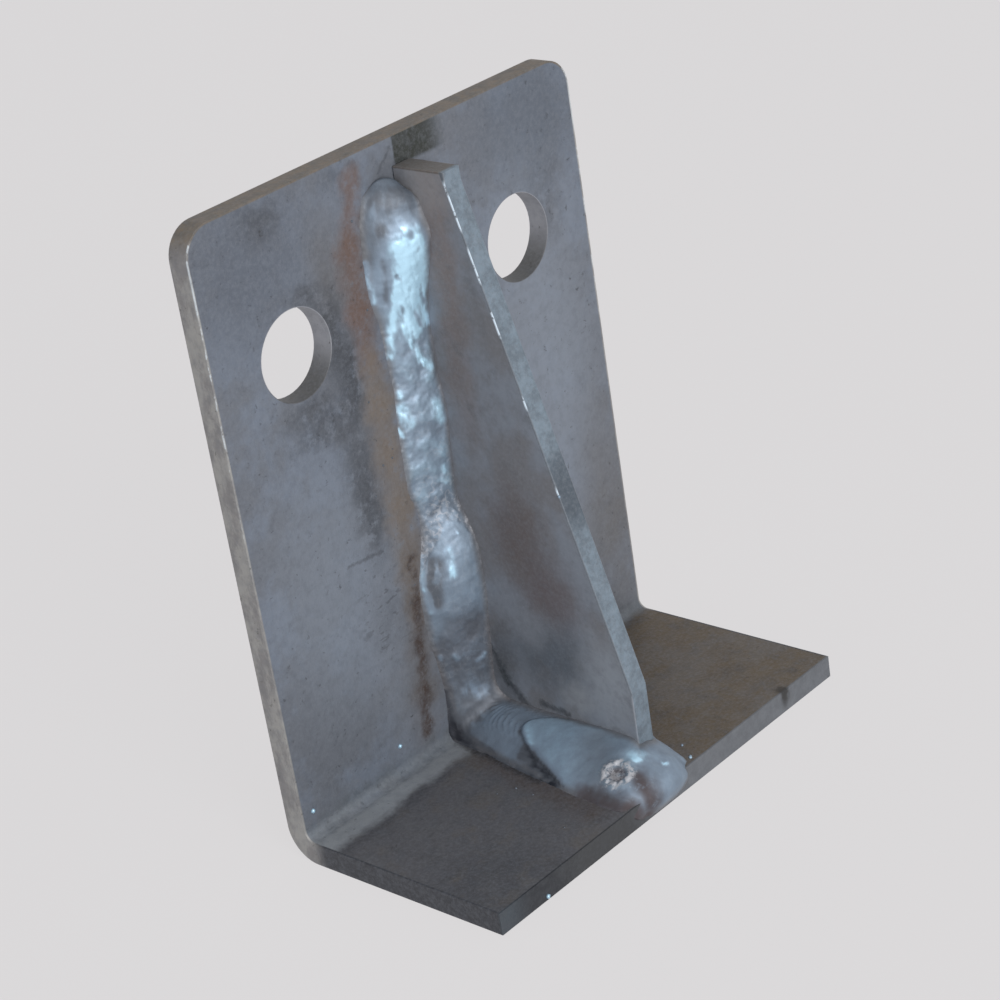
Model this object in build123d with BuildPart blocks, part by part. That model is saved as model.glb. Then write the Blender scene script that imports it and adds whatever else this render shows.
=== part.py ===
from build123d import *

import os

# Welded steel angle bracket: a bent plate, a gusset on edge, and the weld runs that join them.
# The origin is midway between the two bolt holes, on the face that meets the wall.
# +X runs along the width, +Y into the wall and +Z up. All sizes are in millimetres.

# Bent plate
plate_width = 100.0
plate_thickness = 4.5
upright_height = 124.0
shelf_depth = 52.0
bend_inner_radius = 2.0
top_corner_radius = 6.0

# Bolt holes
hole_diameter = 17.0
hole_spacing = 60.0
hole_drop = 30.0

# Gusset
gusset_thickness = 4.5
gusset_offset = 2.5
gusset_top_drop = 5.5
gusset_top_depth = 12.5
gusset_nose_height = 2.5
gusset_toe_height = 15.5
gusset_toe_setback = 8.0
gusset_snipe = 3.0

# Weld metal
weld_plate_leg = 10.0
weld_gusset_leg = 5.5
weld_crown = 1.3
weld_penetration = 1.0
weld_top_gap = 1.2
weld_end_length = 3.0
far_weld_plate_leg = 8.0
far_weld_gusset_leg = 5.0
toe_pad_radius = 11.0
toe_pad_height = 6.6
toe_pad_offset = 5.5
toe_pad_crown = 2.0
toe_pad_lip = 1.4
toe_pad_underside_gap = 1.0

# Levels and faces that the pieces share
top_edge = hole_drop
underside = top_edge - upright_height
shelf_top = underside + plate_thickness
upright_face = -plate_thickness
shelf_front = -shelf_depth
bend_outer_radius = bend_inner_radius + plate_thickness
gusset_top = top_edge - gusset_top_drop
gusset_toe = shelf_front + gusset_toe_setback
toe_pad_centre = shelf_front - toe_pad_lip + toe_pad_radius
weld_mitre = Plane(origin=(0, upright_face, shelf_top), z_dir=(0, 1, 1))

# Each weld run swells and thins along its length. A swell is the share of the nominal leg
# on the plate and on the gusset, at even steps from the start of the run to its end.
# The top end of an upright run is rounded by the shares in weld_end_rounding. The near runs
# curve smoothly from swell to swell and the far runs go straight.
upright_weld_swells = [
    (0.95, 0.91),
    (1.09, 1.25),
    (1.02, 0.78),
    (0.94, 0.66),
    (0.93, 0.68),
    (0.97, 0.66),
    (0.87, 0.64),
    (0.98, 1.06),
    (1.14, 1.13),
    (1.05, 1.02),
    (0.97, 0.94),
    (0.95, 1.00),
]
shelf_weld_swells = [(0.95, 1.00), (1.09, 1.06), (1.24, 1.04), (1.34, 1.05), (1.43, 1.08)]
far_upright_weld_swells = [(0.96, 0.94), (1.04, 1.05), (0.95, 0.95), (1.02, 1.00), (1.00, 1.00)]
far_shelf_weld_swells = [(1.00, 1.00), (0.99, 0.98), (0.95, 0.95), (0.80, 0.86), (0.50, 0.60)]
weld_end_rounding = [0.40, 0.87, 1.00]


def weld_section(plane, plate_leg, gusset_leg):
    """One slice of a fillet weld: x lies along the plate, y up the gusset, the root at the origin."""
    with BuildSketch(plane) as section:
        with BuildLine():
            Polyline(
                (0, gusset_leg),
                (-weld_penetration, gusset_leg),
                (-weld_penetration, -weld_penetration),
                (plate_leg, -weld_penetration),
                (plate_leg, 0),
            )
            SagittaArc((plate_leg, 0), (0, gusset_leg), -weld_crown)
        make_face()
    return section.sketch


def weld_stretch(start, direction, length, side, legs, swells, ruled=False):
    """Weld metal lofted through its swells, from a start point on the root line."""
    plate_leg, gusset_leg = legs
    step = length / (len(swells) - 1)
    slices = []
    for count, (plate_share, gusset_share) in enumerate(swells):
        slice_origin = start + direction * (step * count)
        slice_plane = Plane(origin=slice_origin, x_dir=(side, 0, 0), z_dir=direction * side)
        slices.append(weld_section(slice_plane, plate_leg * plate_share, gusset_leg * gusset_share))
    with BuildPart() as stretch:
        add(slices)
        loft(ruled=ruled)
    return stretch.part


def upright_weld(side, legs, swells, ruled=False):
    """The run down the upright on one side of the gusset, side being -1 for left and 1 for right."""
    down = Vector(0, 0, -1)
    run_top = Vector(gusset_offset + side * gusset_thickness / 2, upright_face, gusset_top - weld_top_gap)
    body_top = run_top + down * weld_end_length
    end_swells = [(share * swells[0][0], share * swells[0][1]) for share in weld_end_rounding]
    rounded_end = weld_stretch(run_top, down, weld_end_length, side, legs, end_swells, ruled=True)
    body = weld_stretch(body_top, down, body_top.Z - shelf_top, side, legs, swells, ruled)
    with BuildPart() as run:
        add(rounded_end)
        add(body)
        split(bisect_by=weld_mitre, keep=Keep.TOP)
        add(bent_plate.part, mode=Mode.SUBTRACT)
        add(gusset.part, mode=Mode.SUBTRACT)
    return run.part


def shelf_weld(side, legs, swells, ruled=False):
    """The run out along the shelf on one side of the gusset, from the upright to the toe pad."""
    outward = Vector(0, -1, 0)
    run_start = Vector(gusset_offset + side * gusset_thickness / 2, upright_face, shelf_top)
    body = weld_stretch(run_start, outward, upright_face - toe_pad_centre, side, legs, swells, ruled)
    with BuildPart() as run:
        add(body)
        split(bisect_by=weld_mitre, keep=Keep.BOTTOM)
        add(bent_plate.part, mode=Mode.SUBTRACT)
        add(gusset.part, mode=Mode.SUBTRACT)
    return run.part


# The plate, folded once into a tall upright and a short shelf
with BuildPart() as bent_plate:
    with BuildSketch(Plane.YZ):
        with BuildLine():
            Polyline(
                (0, top_edge),
                (0, underside),
                (shelf_front, underside),
                (shelf_front, shelf_top),
                (upright_face, shelf_top),
                (upright_face, top_edge),
                close=True,
            )
        make_face()
    extrude(amount=plate_width / 2, both=True)
    along_width = bent_plate.edges().filter_by(Axis.X)
    fillet(along_width.sort_by_distance((0, upright_face, shelf_top))[0:1], bend_inner_radius)
    along_width = bent_plate.edges().filter_by(Axis.X)
    fillet(along_width.sort_by_distance((0, 0, underside))[0:1], bend_outer_radius)
    fillet(bent_plate.edges().filter_by(Axis.Y).group_by(Axis.Z)[-1], top_corner_radius)
    with Locations(Plane.XZ.offset(plate_thickness)):
        with Locations((-hole_spacing / 2, 0), (hole_spacing / 2, 0)):
            Hole(hole_diameter / 2)

# The gusset, a plate on edge with a sloping front, its inner corner sniped to clear the bend
with BuildPart() as gusset:
    with BuildSketch(Plane.YZ.offset(gusset_offset)):
        with BuildLine():
            Polyline(
                (upright_face, gusset_top),
                (upright_face, shelf_top + gusset_snipe),
                (upright_face - gusset_snipe, shelf_top),
                (gusset_toe, shelf_top),
                (gusset_toe, shelf_top + gusset_toe_height),
                (upright_face - gusset_top_depth, gusset_top - gusset_nose_height),
                (upright_face - gusset_top_depth, gusset_top),
                close=True,
            )
        make_face()
    extrude(amount=gusset_thickness / 2, both=True)

# The pad of weld metal round the gusset's toe, which spills over the shelf's front edge
with BuildPart() as toe_weld:
    pad_axis = Plane(
        origin=(gusset_offset - toe_pad_offset, toe_pad_centre, 0), x_dir=(1, 0, 0), z_dir=(0, -1, 0)
    )
    pad_foot = underside + toe_pad_underside_gap
    pad_side = pad_foot + toe_pad_lip
    pad_crown = shelf_top + toe_pad_height
    with BuildSketch(pad_axis):
        with BuildLine():
            Polyline(
                (0, pad_crown),
                (0, pad_foot),
                (toe_pad_radius - toe_pad_lip, pad_foot),
                (toe_pad_radius, pad_side),
            )
            SagittaArc((toe_pad_radius, pad_side), (0, pad_crown), -toe_pad_crown)
        make_face()
    revolve(axis=Axis(pad_axis.origin, (0, 0, 1)))
    split(bisect_by=Plane.XZ.offset(-toe_pad_centre), keep=Keep.TOP)
    add(bent_plate.part, mode=Mode.SUBTRACT)
    add(gusset.part, mode=Mode.SUBTRACT)

near_legs = (weld_plate_leg, weld_gusset_leg)
far_legs = (far_weld_plate_leg, far_weld_gusset_leg)
pieces = {
    "bent_plate": bent_plate.part,
    "gusset": gusset.part,
    "upright_weld_left": upright_weld(-1, near_legs, upright_weld_swells),
    "shelf_weld_left": shelf_weld(-1, near_legs, shelf_weld_swells),
    "upright_weld_right": upright_weld(1, far_legs, far_upright_weld_swells, ruled=True),
    "shelf_weld_right": shelf_weld(1, far_legs, far_shelf_weld_swells, ruled=True),
    "toe_weld": toe_weld.part,
}

os.makedirs("parts", exist_ok=True)
for name, piece in pieces.items():
    piece.label = name
    export_step(piece, f"parts/{name}.step")
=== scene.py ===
import math
import random

import bpy
import numpy as np
from mathutils import Matrix, Vector, noise


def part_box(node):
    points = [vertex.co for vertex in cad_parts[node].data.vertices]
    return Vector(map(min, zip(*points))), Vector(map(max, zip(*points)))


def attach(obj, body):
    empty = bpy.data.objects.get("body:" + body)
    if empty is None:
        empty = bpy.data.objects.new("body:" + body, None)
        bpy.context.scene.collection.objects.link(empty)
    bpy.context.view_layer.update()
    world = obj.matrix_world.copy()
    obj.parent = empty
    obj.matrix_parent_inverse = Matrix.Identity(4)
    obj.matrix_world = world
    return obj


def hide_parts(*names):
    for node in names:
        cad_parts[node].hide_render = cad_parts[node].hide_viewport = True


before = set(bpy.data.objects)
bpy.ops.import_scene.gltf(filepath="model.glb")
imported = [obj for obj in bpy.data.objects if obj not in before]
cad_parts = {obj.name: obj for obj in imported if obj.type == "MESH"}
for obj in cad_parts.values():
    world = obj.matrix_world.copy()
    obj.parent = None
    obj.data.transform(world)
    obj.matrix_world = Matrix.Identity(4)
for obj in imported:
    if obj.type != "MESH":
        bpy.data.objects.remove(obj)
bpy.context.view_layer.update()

MM = 0.001


def node_box(name):
    """Lowest and highest corner of a CAD node, in millimetres."""
    low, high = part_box(name)
    return np.array(low) / MM, np.array(high) / MM


# The faces that the weld metal lies on, in millimetres
plate_low, plate_high = node_box("bent_plate")
gusset_low, gusset_high = node_box("gusset")
LEFT_FACE, RIGHT_FACE = gusset_low[0], gusset_high[0]
GUSSET_MIDDLE = (LEFT_FACE + RIGHT_FACE) / 2
UPRIGHT_FACE = gusset_high[1]
SHELF_TOP = gusset_low[2]
GUSSET_TOE = gusset_low[1]
SHELF_FRONT = plate_low[1]
PLATE_TOP = plate_high[2]
PLATE_SIDE = plate_high[0]
SHELF_UNDERSIDE = plate_low[2]

# Sizes of the source that the frame doesn't give
TOP_CORNER = 6.0
HOLE_OFFSET = 30.0
HOLE_RADIUS = 8.5
NOSE_DEPTH = 12.5
NOSE_HEIGHT = 2.5
TOE_HEIGHT = 15.5

# The left arris of the gusset's sloping front
NOSE = Vector((LEFT_FACE, UPRIGHT_FACE - NOSE_DEPTH, gusset_high[2] - NOSE_HEIGHT))
NOSE_TO_TOE = Vector((LEFT_FACE, GUSSET_TOE, SHELF_TOP + TOE_HEIGHT)) - NOSE


# Camera: where the photograph was taken from
CAMERA_PLACE = Vector((-0.31277, -0.32958, 0.1668))
CAMERA_RIGHT = Vector((0.6488, -0.7473, -0.1437))
CAMERA_UP = Vector((0.4079, 0.1821, 0.8947))
CAMERA_BACK = CAMERA_RIGHT.cross(CAMERA_UP)
camera = bpy.data.objects.new("camera", bpy.data.cameras.new("camera"))
camera.data.sensor_fit = "HORIZONTAL"
camera.data.sensor_width = 36.0
camera.data.lens = 94.715
camera.matrix_world = Matrix.Translation(CAMERA_PLACE) @ Matrix(
    (CAMERA_RIGHT, CAMERA_UP, CAMERA_BACK)
).transposed().to_4x4()
bpy.context.scene.collection.objects.link(camera)
bpy.context.scene.camera = camera
bpy.context.scene.view_settings.view_transform = "Standard"


def srgb(red, green, blue):
    """A screen colour, 0 to 255, in the linear values that shaders take."""
    return tuple(((c / 255 + 0.055) / 1.055) ** 2.4 for c in (red, green, blue)) + (1.0,)


def on_upright(x, z):
    return (x, UPRIGHT_FACE, z)


def on_shelf(x, y):
    return (x, y, SHELF_TOP)


class Nodes:
    """The node tree of a material or world, written as short calls."""

    def __init__(self, owner):
        owner.use_nodes = True
        self.tree = owner.node_tree
        self.tree.nodes.clear()

    def node(self, kind, inputs=None, output=0, **settings):
        """Adds a node, its kind written without ShaderNode. An input is a value or a node's output."""
        made = self.tree.nodes.new("ShaderNode" + kind)
        for name, value in settings.items():
            setattr(made, name, value)
        for socket, value in (inputs or {}).items():
            if isinstance(value, bpy.types.NodeSocket):
                self.tree.links.new(value, made.inputs[socket])
            else:
                made.inputs[socket].default_value = value
        return made if output is None else made.outputs[output]

    def math(self, operation, first, second=0.0):
        return self.node("Math", {0: first, 1: second}, operation=operation)

    def backdrop_rays(self):
        """1 for what the camera sees, straight, in a gloss or through glass, and 0 for light."""
        rays = self.node("LightPath", output=None).outputs
        indirect = self.math("MAXIMUM", rays["Is Glossy Ray"], rays["Is Transmission Ray"])
        return self.math("MAXIMUM", rays["Is Camera Ray"], indirect)


class Surface(Nodes):
    """A material. Places are in millimetres in the part's frame."""

    def __init__(self, name):
        self.material = bpy.data.materials.new(name)
        super().__init__(self.material)
        metres = self.node("TexCoord", output="Object")
        self.place = self.vector("SCALE", metres, Scale=1 / MM)
        self.x, self.y, self.z = self.node("SeparateXYZ", {0: self.place}, output=None).outputs

    def vector(self, operation, first, second=(0, 0, 0), output=0, **named):
        inputs = {0: first, 1: second, **named}
        return self.node("VectorMath", inputs, output, operation=operation)

    def times(self, first, second):
        return self.math("MULTIPLY", first, second)

    def plus(self, first, second):
        return self.math("ADD", first, second)

    def most(self, first, second):
        return self.math("MAXIMUM", first, second)

    def step(self, value, low, high):
        """0 at low and 1 at high, smooth between them. low may be above high."""
        sockets = {"Value": value, "From Min": low, "From Max": high}
        return self.node("MapRange", sockets, interpolation_type="SMOOTHSTEP")

    def noise(self, size, detail=3.0, roughness=0.55, place=None, stretch=None, output="Fac"):
        """Noise whose features measure about size millimetres."""
        place = self.place if place is None else place
        if stretch:
            place = self.vector("DIVIDE", place, stretch)
        sockets = {"Vector": place, "Scale": 1 / size, "Detail": detail, "Roughness": roughness}
        return self.node("TexNoise", sockets, output)

    def ragged(self, size, reach):
        """The place, pushed about by up to reach, for marks with uneven edges."""
        push = self.noise(size, 4.0, 0.6, output="Color")
        push = self.vector("SUBTRACT", push, (0.5, 0.5, 0.5))
        return self.vector("ADD", self.place, self.vector("SCALE", push, Scale=4 * reach))

    def blob(self, place, centre, radii, soft=0.4):
        """1 inside an ellipsoid, 0 outside it, with a soft edge."""
        away = self.vector("DIVIDE", self.vector("SUBTRACT", place, centre), radii)
        return self.step(self.vector("LENGTH", away, output="Value"), 1 + soft, 1 - soft)

    def stroke(self, place, start, end, radius, soft=0.5):
        """1 along a straight line, 0 away from it, with a soft edge."""
        run = Vector(end) - Vector(start)
        from_start = self.vector("SUBTRACT", place, start)
        along = self.vector("DOT_PRODUCT", from_start, run, output="Value")
        share = self.times(along, 1 / run.length_squared)
        share = self.math("MINIMUM", self.most(share, 0.0), 1.0)
        nearest = self.vector("SCALE", tuple(run), Scale=share)
        away = self.vector("LENGTH", self.vector("SUBTRACT", from_start, nearest), output="Value")
        return self.step(away, radius * (1 + soft), radius * (1 - soft))

    def mix(self, share, first, second):
        return self.node("Mix", {0: share, 6: first, 7: second}, 2, data_type="RGBA")

    def tint(self, colour, tone, mask, strength):
        """The colour, turned toward the tone by the mask, and where that is 1 by the strength."""
        return self.mix(self.times(mask, strength), colour, tone)

    def attribute(self, name):
        return self.node("Attribute", output="Fac", attribute_name=name)

    def shader(self, colour, roughness, metallic, height, depth):
        """height is the relief, 0 to 1, and depth what 1 of it measures in millimetres."""
        normal = self.node("Bump", {"Strength": 1.0, "Distance": depth * MM, "Height": height})
        sockets = {"Base Color": colour, "Roughness": roughness, "Metallic": metallic, "Normal": normal}
        return self.node("BsdfPrincipled", sockets)

    def finish(self, shader):
        self.node("OutputMaterial", {"Surface": shader}, None)
        return self.material


# Depth of the materials' own relief, in millimetres
RELIEF = 0.10
WELD_RELIEF = 0.07

# Marks on the upright, as centre (x, z), radii (x, z), strength and colour
SMUDGE = srgb(70, 72, 77)
PALE_SCALE = srgb(137, 145, 157)
BROWN_SCALE = srgb(104, 99, 95)
UPRIGHT_TONES = [
    ((-38, 20), (15, 15), 0.72, srgb(91, 96, 106)),
    ((38, 22), (14, 12), 0.7, srgb(93, 101, 113)),
    ((-28, -48), (16, 22), 0.62, PALE_SCALE),
    ((-17, -66), (9, 20), 0.45, srgb(132, 134, 140)),
    ((32, -30), (14, 34), 0.72, PALE_SCALE),
    ((-18.5, 13), (5, 9), 0.45, BROWN_SCALE),
    ((46, -62), (8, 20), 0.55, BROWN_SCALE),
    ((-21.5, 1), (3.6, 7.5), 0.85, SMUDGE),
    ((-18, -8.5), (3.2, 6.5), 0.85, SMUDGE),
    ((-29, -10.8), (6, 2.2), 0.6, SMUDGE),
    ((-25, -15.5), (9, 3.6), 0.65, SMUDGE),
    ((-20, -25), (4, 7), 0.6, SMUDGE),
    ((-19.3, -36), (3.4, 8), 0.75, SMUDGE),
    ((-33, 26), (4.5, 3), 0.6, SMUDGE),
    ((-26, 9.5), (3, 2.4), 0.6, SMUDGE),
    ((-14, 27), (4, 3), 0.45, SMUDGE),
    ((-20, -57), (4.5, 7), 0.2, SMUDGE),
    ((38.5, 5), (4, 8), 0.35, SMUDGE),
]
# The heat tint left of the weld, as points (x, z) on its middle line with half width and colour
HEAT_RED = srgb(113, 90, 79)
HEAT_KHAKI = srgb(128, 116, 105)
HEAT_LINE = [
    (-10.2, 26, 2, HEAT_RED), (-13.5, 14, 2.7, HEAT_RED), (-13.7, 2, 2.5, HEAT_RED),
    (-13.2, -8, 2.7, HEAT_KHAKI), (-12.8, -17, 3.2, HEAT_KHAKI), (-12.6, -27, 3.5, HEAT_KHAKI),
    (-12, -38, 3.2, HEAT_KHAKI), (-12.2, -50, 2.2, HEAT_KHAKI), (-12.9, -60, 0, HEAT_KHAKI),
]
# The brown rust line below it, by the weld's foot, as points (x, z) with half width
RUST_LINE = [
    (-11.6, -49, 0.8), (-12.3, -58, 1.1), (-13.3, -66, 1.3), (-14.4, -76, 1.4), (-15.2, -84, 1.1),
]
# Scratches, as from and to (x, z) and half width
SCRATCHES = [((-27.1, -43.3), (-18.9, -44.1), 0.40), ((0.5, 28.1), (-3.1, 24.4), 0.35)]

STEEL_BLUE = srgb(118, 126, 139)
STEEL_GREY = srgb(109, 113, 121)
STEEL_DARK = srgb(80, 82, 88)
SCALE_SHADE = srgb(84, 88, 96)
SCALE_GRAIN = srgb(146, 150, 158)
SCALE_PIT = srgb(62, 62, 64)
SHELF_CHARCOAL = srgb(96, 95, 98)
SHELF_BROWN = srgb(96, 84, 68)
SHELF_CORNER = srgb(78, 78, 82)
SHELF_DARK = srgb(72, 72, 74)
SHELF_LIGHT = srgb(108, 108, 110)
SHELF_TAN = srgb(106, 98, 88)
RUST_DARK = srgb(74, 59, 52)
RUST_HALO = srgb(102, 93, 87)
PAINTED_BEND_LIGHT = srgb(154, 158, 162)
PAINTED_BEND_SHADE = srgb(86, 92, 94)
DARK_PATCH_ABOVE_GUSSET = srgb(45, 47, 38)
SIDE_EDGE = srgb(162, 160, 157)
SIDE_EDGE_DULL = srgb(120, 117, 119)
SHELF_SIDE = srgb(65, 66, 71)
TOP_EDGE = srgb(118, 107, 94)
TOP_EDGE_DULL = srgb(104, 99, 92)
FRONT_LEFT = srgb(48, 50, 55)
FRONT_MIDDLE = srgb(64, 65, 67)
FRONT_CORNER_HIGHLIGHT = srgb(70, 77, 84)
FRONT_RIGHT = srgb(113, 116, 121)
FRONT_DULL = srgb(74, 76, 80)
FRONT_GRAIN = srgb(110, 113, 118)
WORN_EDGE_AND_GLINT = srgb(214, 222, 228)
BORE_PAINTED_SHADE = srgb(92, 92, 92)
BORE_PAINTED_LIGHT = srgb(158, 159, 165)
NICK = srgb(48, 46, 44)
# Marks along the shelf, with painted light and shade at the bend and painted shade at the weld's foot:
# kind of edge, from and to (x, y), half width, softness, strength, colour
SHELF_STROKES = [
    ("rough", (-12.5, -16), (-16.5, -46), 2.6, 0.9, 0.6, srgb(86, 74, 68)),
    # Painted shadow just beyond the bend
    ("rough", (-52, -13.2), (-20, -12), 1.6, 0.8, 0.6, srgb(72, 72, 76)),
    # Painted light: a pale band along the bend
    ("wavy", (-52, -6.4), (-32, -6.2), 5.4, 0.3, 0.9, PAINTED_BEND_LIGHT),
    ("wavy", (-32, -6.4), (-13, -6.2), 4.6, 0.3, 0.9, PAINTED_BEND_LIGHT),
    # Painted shade along the weld's foot
    ("fine", (-10, -8), (-13.3, -30), 0.9, 0.9, 0.75, srgb(44, 42, 44)),
]
# The middle line of the band of painted shade along the bend, as (y, z)
BEND_MIDDLE = (UPRIGHT_FACE - 0.5, SHELF_TOP + 0.8)
MARK_DEPTH = 9.0


class PlateSurface(Surface):
    """Hot-rolled plate, with the places and patterns that its marks share."""

    def __init__(self):
        super().__init__("plate_mill_scale")
        self.rough = self.ragged(4.0, 1.3)
        self.fine = self.ragged(1.6, 0.5)
        fine_push = self.vector("SUBTRACT", self.fine, self.place)
        self.wavy = self.vector("ADD", self.ragged(8.0, 1.2), fine_push)
        self.patches = self.noise(16.0, 5.0, 0.65)
        self.cloud = self.noise(5.0, 5.0, 0.68)
        self.mottle = self.noise(2.2, 4.0, 0.65)
        self.grain = self.noise(0.7, 3.0, 0.7)
        self.uneven = self.step(self.noise(2.5, 5.0, 0.7), 0.35, 0.65)
        self.uneven_y = self.plus(self.y, self.times(self.mottle, 2.0))


def upright_colour(s):
    """Mill scale with smudges, the heat tint and the rust line, and painted shade along the bend."""
    colour = s.mix(s.step(s.patches, 0.40, 0.60), STEEL_GREY, STEEL_BLUE)
    colour = s.tint(colour, STEEL_DARK, s.step(s.cloud, 0.56, 0.74), 0.45)
    for centre, (wide, tall), strength, tone in UPRIGHT_TONES:
        mark = s.blob(s.rough, on_upright(*centre), (wide, MARK_DEPTH, tall), 0.75)
        if tone == SMUDGE:
            mark = s.times(mark, s.step(s.noise(2.6, 5.0, 0.7), 0.32, 0.54))
        colour = s.tint(colour, tone, mark, strength)
    for (x, z, wide, tone), (next_x, next_z, _, _) in zip(HEAT_LINE, HEAT_LINE[1:]):
        band = s.stroke(s.rough, on_upright(x, z), on_upright(next_x, next_z), wide, 0.9)
        band = s.times(band, s.step(s.mottle, 0.18, 0.52))
        colour = s.tint(colour, tone, band, 0.76)
    for (x, z, wide), (next_x, next_z, _) in zip(RUST_LINE, RUST_LINE[1:]):
        start, end = on_upright(x, z), on_upright(next_x, next_z)
        colour = s.tint(colour, RUST_HALO, s.stroke(s.rough, start, end, wide + 1.8, 0.9), 0.45)
        band = s.stroke(s.rough, start, end, wide, 0.8)
        band = s.times(band, s.step(s.noise(1.5, 4.0, 0.7), 0.30, 0.50))
        colour = s.tint(colour, RUST_DARK, band, 0.85)
    for start, end, wide in SCRATCHES:
        mark = s.stroke(s.fine, on_upright(*start), on_upright(*end), wide, 0.7)
        colour = s.tint(colour, SMUDGE, mark, 0.5)
    flecks = s.step(s.noise(1.3, 2.0, 0.5, stretch=(1.9, 1.0, 0.9)), 0.58, 0.66)
    by_rust = s.blob(s.rough, on_upright(-20.5, -55.0), (6.0, MARK_DEPTH, 10.0), 0.7)
    colour = s.tint(colour, SMUDGE, s.times(flecks, by_rust), 0.5)
    # Painted shade: a darker band along the bend
    bend_shade = s.stroke(s.wavy, (-PLATE_SIDE, *BEND_MIDDLE), (PLATE_SIDE, *BEND_MIDDLE), 1.9, 0.9)
    return s.tint(colour, PAINTED_BEND_SHADE, bend_shade, 0.50)


def shelf_colour(s):
    """Charcoal at the left and warmer at the right, with painted light by the bend, browned by the weld,
    and painted shade beyond the bend and along the weld's foot.
    """
    colour = s.mix(s.step(s.x, -10.0, 14.0), SHELF_CHARCOAL, SHELF_BROWN)
    corner = s.blob(s.rough, on_shelf(-44.0, -46.0), (12.0, 12.0, 9.0), 0.6)
    colour = s.tint(colour, SHELF_CORNER, corner, 0.8)
    colour = s.tint(colour, SHELF_DARK, s.step(s.cloud, 0.48, 0.70), 0.45)
    colour = s.tint(colour, SHELF_LIGHT, s.step(s.patches, 0.50, 0.62), 0.30)
    colour = s.tint(colour, SHELF_TAN, s.step(s.noise(9.0, 4.0, 0.65), 0.50, 0.66), 0.35)
    edges = {"rough": s.rough, "fine": s.fine, "wavy": s.wavy}
    for edge, start, end, wide, soft, strength, tone in SHELF_STROKES:
        mark = s.stroke(edges[edge], on_shelf(*start), on_shelf(*end), wide, soft)
        colour = s.tint(colour, tone, mark, strength)
    return colour


def dark_patch_above_gusset(s):
    """A dark patch on the upright above the gusset, crisp at its left and soft at its right."""
    patch = s.times(s.step(s.x, 1.0, 1.6), s.step(s.x, 16.0, 9.5))
    patch = s.times(patch, s.step(s.z, 23.5, 24.5))
    patch = s.times(patch, s.step(s.y, UPRIGHT_FACE - 0.8, UPRIGHT_FACE - 0.3))
    return s.times(patch, s.step(s.y, UPRIGHT_FACE + 0.8, UPRIGHT_FACE + 0.3))


def sheared_edge(s):
    """The cut outline: pale down the sides, brown along the top and dark beside the shelf."""
    dull = s.step(s.noise(4.0, 5.0, 0.7, stretch=(1.0, 1.0, 1.8)), 0.42, 0.62)
    colour = s.mix(s.times(dull, 0.65), SIDE_EDGE, SIDE_EDGE_DULL)
    top = s.mix(s.uneven, TOP_EDGE, TOP_EDGE_DULL)
    colour = s.mix(s.step(s.z, PLATE_TOP - 5.5, PLATE_TOP - 1.0), colour, top)
    return s.mix(s.step(s.uneven_y, -4.0, -8.5), colour, SHELF_SIDE)


def front_edge(s):
    """The shelf's front strip, darker at its left than at its right."""
    from_left = s.plus(s.x, s.times(s.mottle, 8.0))
    colour = s.mix(s.step(from_left, -34.0, -22.0), FRONT_LEFT, FRONT_MIDDLE)
    colour = s.mix(s.step(from_left, -12.0, 8.0), colour, FRONT_RIGHT)
    # A painted highlight at the strip's left corner
    colour = s.mix(s.step(s.x, -41.0, -49.0), colour, FRONT_CORNER_HIGHLIGHT)
    colour = s.tint(colour, FRONT_DULL, s.uneven, 0.30)
    return s.tint(colour, FRONT_GRAIN, s.step(s.grain, 0.35, 0.75), 0.12)


def worn_arris_and_glint(s, reach):
    """The upright's front arris, worn and with a painted highlight: whole by the top corners and broken
    below.
    """
    from_face = s.math("ABSOLUTE", s.plus(s.y, -UPRIGHT_FACE))
    arris = s.step(reach, TOP_CORNER - 0.40, TOP_CORNER - 0.16)
    arris = s.times(arris, s.step(from_face, 0.30, 0.10))
    broken = s.step(s.noise(1.8, 3.0, 0.6, stretch=(1.0, 1.0, 1.6)), 0.50, 0.60)
    whole = s.times(s.step(s.z, 13.5, 16.5), s.step(s.z, 25.0, 23.5))
    sparse = s.times(s.times(broken, s.step(s.z, -44.0, 4.0)), 0.75)
    worn_and_glint = s.most(s.times(whole, 0.60), sparse)
    worn_and_glint = s.times(worn_and_glint, s.step(s.z, PLATE_TOP - 1.0, PLATE_TOP - 3.0))
    return s.times(arris, worn_and_glint)


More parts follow.
